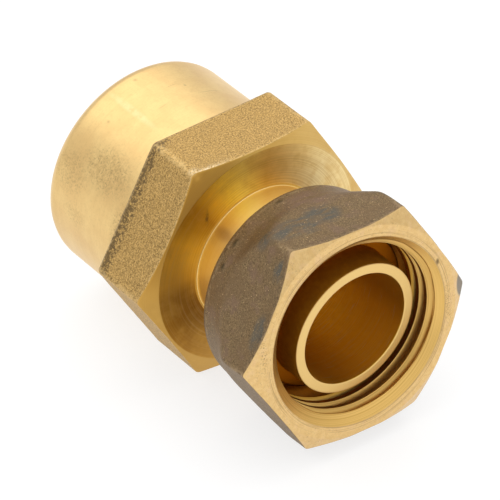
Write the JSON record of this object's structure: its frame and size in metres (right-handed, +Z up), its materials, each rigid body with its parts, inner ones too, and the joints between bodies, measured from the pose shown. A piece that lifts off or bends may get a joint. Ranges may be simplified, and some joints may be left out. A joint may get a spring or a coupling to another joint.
{
  "type": "pipe union fitting",
  "caption": "Brass straight pipe union: a round female-threaded socket with a hexagon, a collared tail and spigot, and a captive loose hexagonal union nut.",
  "frame": {"origin": "centre of the collar's sealing face, on the pipe axis, where the spigot starts", "axes": "+X along the pipe axis from the socket towards the spigot's tip, +Z up with the fitting lying on one flat of the body's hexagon"},
  "size_m": [0.0663, 0.049, 0.0428],
  "materials": {
    "body_brass": "satin turned socket, blasted hexagon flats",
    "tail_brass": "bright turned",
    "nut_brass": "dark forging skin, bright machined front"
  },
  "bodies": {
    "fitting": {"body": "body_brass", "tailpiece": "tail_brass"},
    "nut": {"union_nut": "nut_brass"}
  },
  "joints": [
    {"name": "nut_swivel", "type": "hinge", "parent": "fitting", "child": "nut", "pos_m": [0.00887, -0.00088, 0.00114], "axis": [0.9905, -0.0606, 0.1236], "continuous": true}
  ]
}
